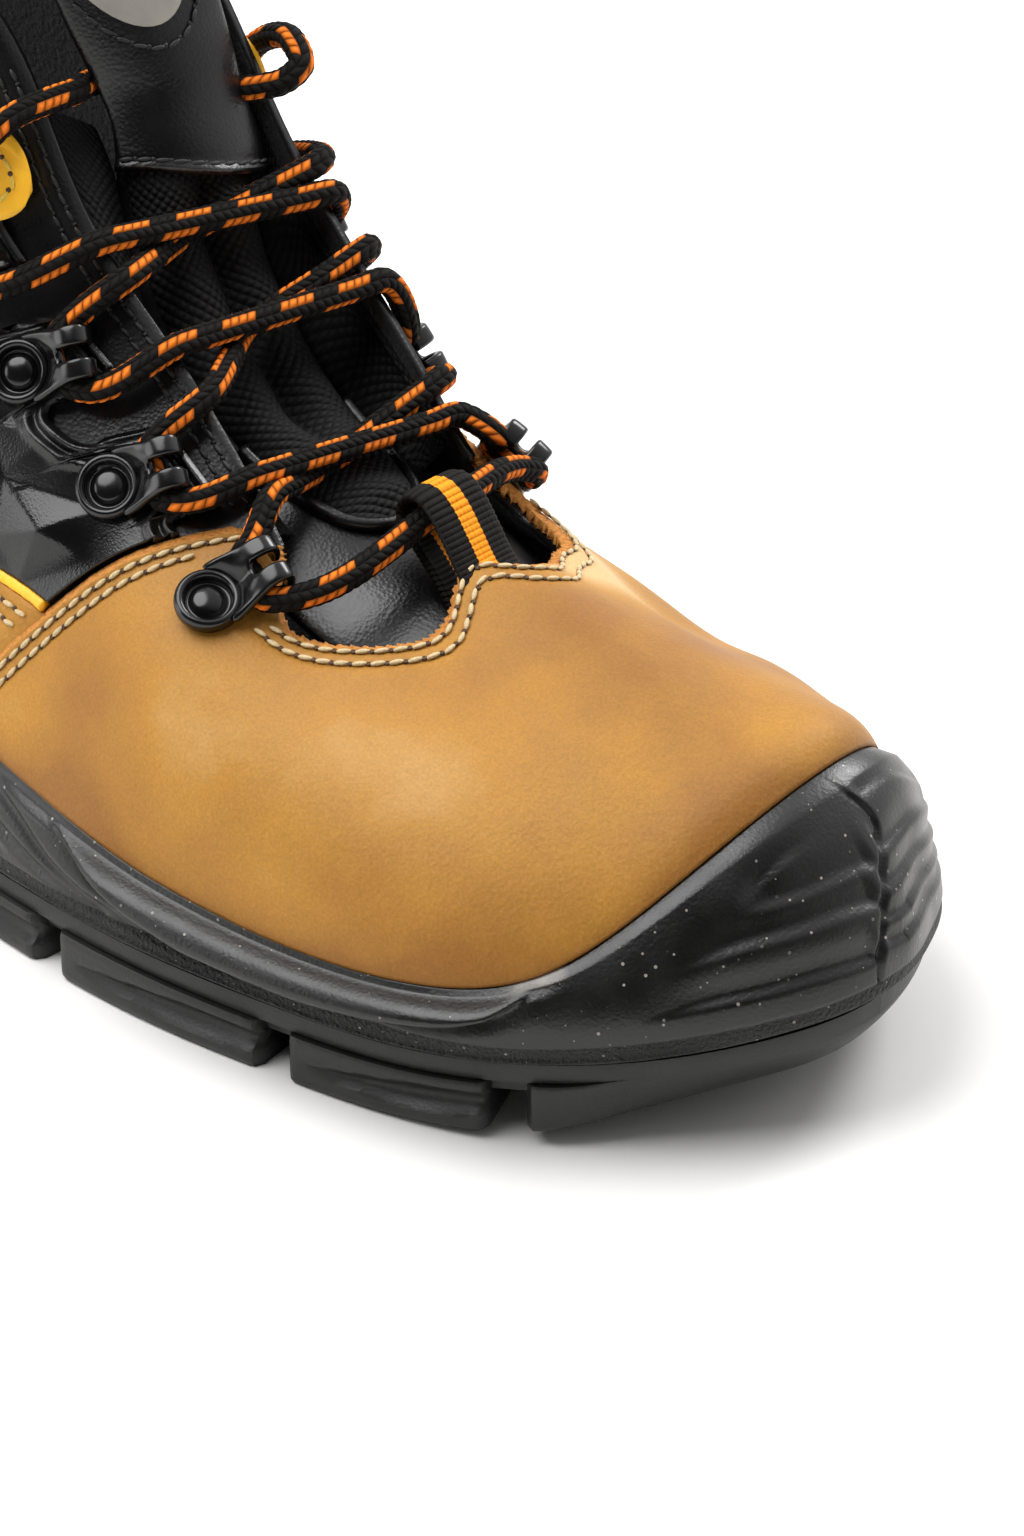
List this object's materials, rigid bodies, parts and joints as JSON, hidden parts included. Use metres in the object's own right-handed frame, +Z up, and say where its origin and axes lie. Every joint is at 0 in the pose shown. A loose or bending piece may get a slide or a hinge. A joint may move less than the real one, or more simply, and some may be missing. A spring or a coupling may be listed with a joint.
{
  "type": "safety shoe",
  "caption": "Ankle-high lace-up safety shoe for the right foot, with a tan leather vamp, black faceted quarters, a toe bumper and a lugged sole.",
  "frame": {"origin": "on the floor, under the middle of the shoe's box in plan", "axes": "+X to the toe, +Y to the inner side of the foot, +Z up"},
  "size_m": [0.3096, 0.1156, 0.17],
  "materials": {
    "outsole": "matte moulded rubber",
    "midsole": "satin moulded foam",
    "insole": "felt",
    "upper": "satin",
    "tongue": "woven mesh",
    "vamp": "smooth oiled leather",
    "counter_panel": "smooth oiled leather",
    "quarter": "moulded facets, satin",
    "piping": "satin",
    "tongue_patch": "smooth, satin",
    "tab": "satin",
    "hook": "moulded, gloss",
    "lace": "braided",
    "webbing": "woven ribs"
  },
  "bodies": {
    "root": {"outsole": "outsole", "midsole": "midsole", "insole": "insole", "upper": "upper", "tongue": "tongue", "vamp": "vamp", "counter_panel": "counter_panel", "piping": "piping", "quarter_outer": "quarter", "quarter_inner": "quarter", "tongue_patch": "tongue_patch", "tab_outer": "tab", "tab_inner": "tab", "webbing_loop": "webbing", "hook_outer_1": "hook", "hook_outer_2": "hook", "hook_outer_3": "hook", "hook_outer_4": "hook", "hook_inner_1": "hook", "hook_inner_2": "hook", "hook_inner_3": "hook", "hook_inner_4": "hook", "lace_bar": "lace", "lace_crossing_1": "lace", "lace_crossing_2": "lace", "lace_crossing_3": "lace", "lace_end_outer": "lace", "lace_end_inner": "lace"}
  },
  "joints": []
}
